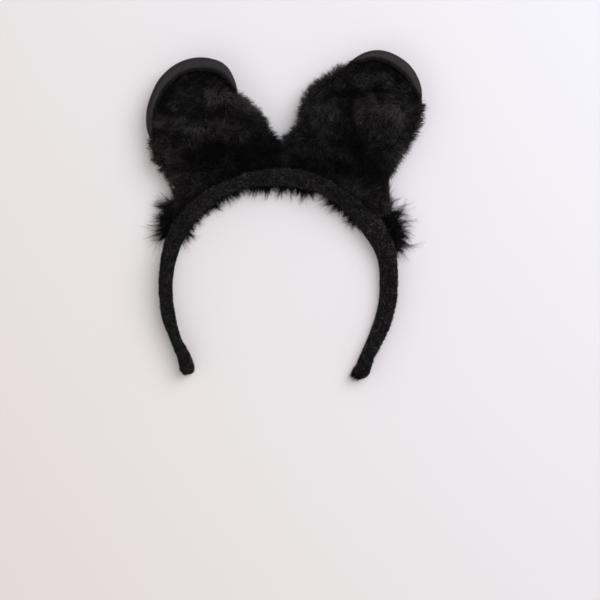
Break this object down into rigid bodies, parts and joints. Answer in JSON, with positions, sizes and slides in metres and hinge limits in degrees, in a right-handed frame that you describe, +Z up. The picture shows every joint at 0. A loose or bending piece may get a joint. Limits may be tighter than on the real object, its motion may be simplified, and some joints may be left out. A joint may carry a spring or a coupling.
{
  "type": "animal ears headband",
  "caption": "Springy U-shaped costume headband in a padded velvet sleeve, with stuffed plush ears, satin ear fronts and a fluffy feather trim along the front.",
  "frame": {"origin": "middle of the object's footprint, on the surface it lies on", "axes": "+Y from the open ends of the band towards the ear tips, +Z up, which is the back of the headband, so its front faces -Z, +X to the right as seen from above"},
  "size_m": [0.168, 0.2006, 0.0194],
  "materials": {
    "velvet": "black short-pile velvet",
    "plush": "black plush, pile about 6 mm",
    "satin": "brownish black satin, soft sheen",
    "feather": "black fluffy down feather",
    "foam": "dark grey soft foam, hidden",
    "filling": "white polyester wadding, hidden",
    "spring_plastic": "black springy plastic, hidden",
    "thread": "black sewing thread and cord"
  },
  "bodies": {
    "crown": {"velvet_sleeve_crown": "velvet", "foam_wrap_crown": "foam", "spring_strip_crown": "spring_plastic", "sleeve_seam_crown": "thread", "feather_trim": "feather", "feather_trim_cord": "thread", "left_ear_base_satin": "satin", "left_ear_base_filling": "filling", "left_ear_base_plush": "plush", "right_ear_base_satin": "satin", "right_ear_base_filling": "filling", "right_ear_base_plush": "plush", "left_ear_tack_thread": "thread", "right_ear_tack_thread": "thread"},
    "left_leg": {"velvet_sleeve_left_leg": "velvet", "foam_wrap_left_leg": "foam", "spring_strip_left_leg": "spring_plastic", "sleeve_seam_left_leg": "thread", "left_tip_cap": "velvet"},
    "right_leg": {"velvet_sleeve_right_leg": "velvet", "foam_wrap_right_leg": "foam", "spring_strip_right_leg": "spring_plastic", "sleeve_seam_right_leg": "thread", "right_tip_cap": "velvet"},
    "left_ear": {"left_ear_satin_front": "satin", "left_ear_filling": "filling", "left_ear_plush_back": "plush"},
    "right_ear": {"right_ear_satin_front": "satin", "right_ear_filling": "filling", "right_ear_plush_back": "plush"}
  },
  "joints": [
    {"name": "left_leg_flex", "type": "hinge", "parent": "crown", "child": "left_leg", "pos_m": [-0.07106, -0.02956, 0.0097], "axis": [0, 0, -1], "range_deg": [-5, 20], "stiffness_Nm_per_rad": 0.35},
    {"name": "right_leg_flex", "type": "hinge", "parent": "crown", "child": "right_leg", "pos_m": [0.06384, -0.03196, 0.0085], "axis": [0, 0, 1], "range_deg": [-5, 20], "stiffness_Nm_per_rad": 0.35},
    {"name": "left_ear_bend", "type": "hinge", "parent": "crown", "child": "left_ear", "pos_m": [-0.03821, 0.03509, 0.0104], "axis": [0.9533, 0.3021, 0], "range_deg": [-4, 40], "stiffness_Nm_per_rad": 0.12},
    {"name": "right_ear_bend", "type": "hinge", "parent": "crown", "child": "right_ear", "pos_m": [0.03284, 0.03549, 0.0104], "axis": [0.9321, -0.3621, 0], "range_deg": [-4, 40], "stiffness_Nm_per_rad": 0.12}
  ]
}
